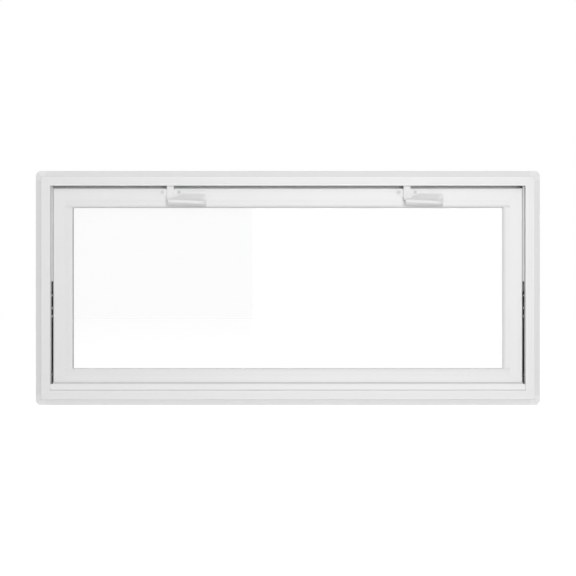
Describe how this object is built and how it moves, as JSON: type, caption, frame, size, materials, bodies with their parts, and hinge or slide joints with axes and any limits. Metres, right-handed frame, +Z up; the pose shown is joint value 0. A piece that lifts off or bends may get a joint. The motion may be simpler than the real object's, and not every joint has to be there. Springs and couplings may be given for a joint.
{
  "type": "hopper window",
  "caption": "Wide low white vinyl hopper window, closed: welded frame, inward-tilting glazed sash on bottom pivots and side stays, latch levers on the top rail.",
  "frame": {"origin": "middle of the underside, at the centre of the whole depth from latch grips to weep covers", "axes": "+X to the right seen from the room, +Y from the room to the outside, +Z up"},
  "size_m": [0.8064, 0.095, 0.3747],
  "materials": {
    "white_vinyl": "smooth white extruded vinyl with a low sheen",
    "window_glass": "clear float glass",
    "spacer_metal": "mill-finish spacer bar",
    "gasket_rubber": "dark grey flexible seal",
    "seal_grey": "pale grey flexible seal",
    "bright_steel": "zinc-plated steel",
    "black_steel": "black coated steel strip",
    "black_nylon": "moulded black nylon",
    "latch_white": "white enamelled die casting"
  },
  "bodies": {
    "root": {"frame_head": "white_vinyl", "frame_sill": "white_vinyl", "frame_jamb_left": "white_vinyl", "frame_jamb_right": "white_vinyl", "sill_strip": "white_vinyl", "jamb_filler_left": "white_vinyl", "jamb_filler_right": "white_vinyl", "sash_top_rail": "white_vinyl", "sash_bottom_rail": "white_vinyl", "sash_stile_left": "white_vinyl", "sash_stile_right": "white_vinyl", "glazing_bead_top": "white_vinyl", "glazing_bead_bottom": "white_vinyl", "glazing_bead_left": "white_vinyl", "glazing_bead_right": "white_vinyl", "weep_cover_left": "white_vinyl", "weep_cover_right": "white_vinyl", "glass_inner": "window_glass", "glass_outer": "window_glass", "glass_spacer": "spacer_metal", "glazing_gasket": "gasket_rubber", "bedding_tape": "gasket_rubber", "weatherstrip": "gasket_rubber", "sill_seal": "seal_grey", "pivot_pin_left": "bright_steel", "pivot_pin_right": "bright_steel", "stay_rivets_left": "bright_steel", "stay_rivets_right": "bright_steel", "stay_track_left": "black_steel", "stay_track_right": "black_steel", "stay_bracket_left": "black_steel", "stay_bracket_right": "black_steel", "stay_arm_left": "black_steel", "stay_arm_right": "black_steel", "stay_slider_left": "black_nylon", "stay_slider_right": "black_nylon", "pivot_block_left": "black_nylon", "pivot_block_right": "black_nylon", "latch_base_left": "latch_white", "latch_base_right": "latch_white", "latch_screws_left": "latch_white", "latch_screws_right": "latch_white"},
    "latch_lever_left": {"latch_lever_left": "latch_white"},
    "latch_lever_right": {"latch_lever_right": "latch_white"}
  },
  "joints": [
    {"name": "latch_left_turn", "type": "hinge", "parent": "root", "child": "latch_lever_left", "pos_m": [-0.1876, -0.0375, 0.3355], "axis": [0, 1, 0], "range_deg": [0, 88]},
    {"name": "latch_right_turn", "type": "hinge", "parent": "root", "child": "latch_lever_right", "pos_m": [0.1906, -0.0375, 0.3355], "axis": [0, 1, 0], "range_deg": [0, 88]}
  ]
}
